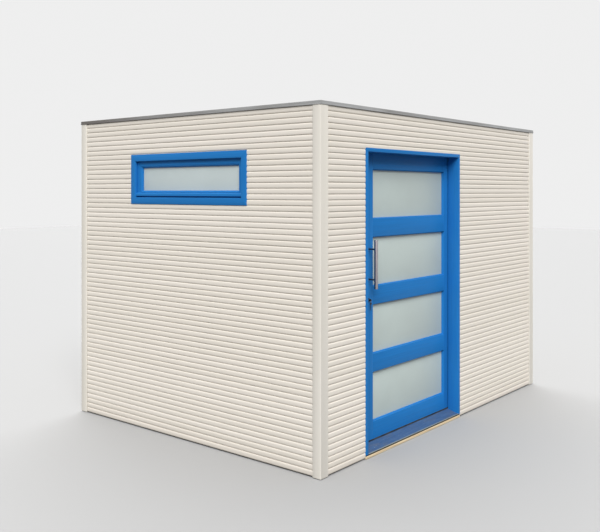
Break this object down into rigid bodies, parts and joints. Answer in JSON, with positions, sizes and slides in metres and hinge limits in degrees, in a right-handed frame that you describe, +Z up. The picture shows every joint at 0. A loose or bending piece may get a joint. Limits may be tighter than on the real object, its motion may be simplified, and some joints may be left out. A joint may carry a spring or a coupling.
{
  "type": "tool shed",
  "caption": "Flat-roofed timber tool shed with rounded horizontal cladding, corner trims, a set-back glazed door that opens inwards, and a wide low window in the left end wall.",
  "frame": {"origin": "on the ground, under the middle of the building's bounding box", "axes": "+X along the front wall to the right as seen from outside, +Y from the front wall to the back wall, +Z up"},
  "size_m": [3.016, 2.406, 2.257],
  "materials": {
    "cladding": "cream satin paint on boards",
    "trim": "white satin paint",
    "blue": "mid blue satin paint",
    "threshold": "worn blue paint",
    "timber": "planed softwood",
    "pale_timber": "pale planed softwood",
    "base": "dark treated timber",
    "metal_edge": "dull grey folded sheet",
    "membrane": "matt dark roofing sheet",
    "seal": "matt black strip",
    "frosted_glass": "frosted",
    "steel": "satin stainless",
    "key": "black"
  },
  "bodies": {
    "building": {"base_frame": "base", "floor_bearers": "base", "floor_deck": "timber", "front_wall_left": "timber", "front_wall_right": "timber", "front_wall_head": "timber", "back_wall": "timber", "left_wall": "timber", "right_wall": "timber", "front_cladding_left": "cladding", "front_cladding_right": "cladding", "front_cladding_head": "cladding", "back_cladding": "cladding", "left_cladding": "cladding", "right_cladding": "cladding", "corner_trim_front_left": "trim", "corner_trim_front_right": "trim", "corner_trim_back_left": "trim", "corner_trim_back_right": "trim", "roof_ledgers": "timber", "roof_joists": "timber", "roof_deck": "timber", "roof_membrane": "membrane", "roof_kerb": "timber", "roof_edge_front": "metal_edge", "roof_edge_back": "metal_edge", "roof_edge_left": "metal_edge", "roof_edge_right": "metal_edge", "door_jamb_left": "blue", "door_jamb_right": "blue", "door_head": "blue", "door_threshold": "threshold", "threshold_seal": "seal", "door_sill_beam": "pale_timber", "frame_hinges": "steel", "window_casing": "blue", "window_frame": "blue", "window_glass": "frosted_glass", "window_sill": "blue"},
    "door": {"door_stiles": "blue", "door_rails": "blue", "door_panes": "frosted_glass", "door_hinges": "steel", "pull_handle": "steel", "lock_cylinder": "steel", "door_key": "key"}
  },
  "joints": [
    {"name": "door_swing", "type": "hinge", "parent": "building", "child": "door", "pos_m": [0.1865, -1.043, 0], "axis": [0, 0, -1], "range_deg": [0, 105]}
  ]
}
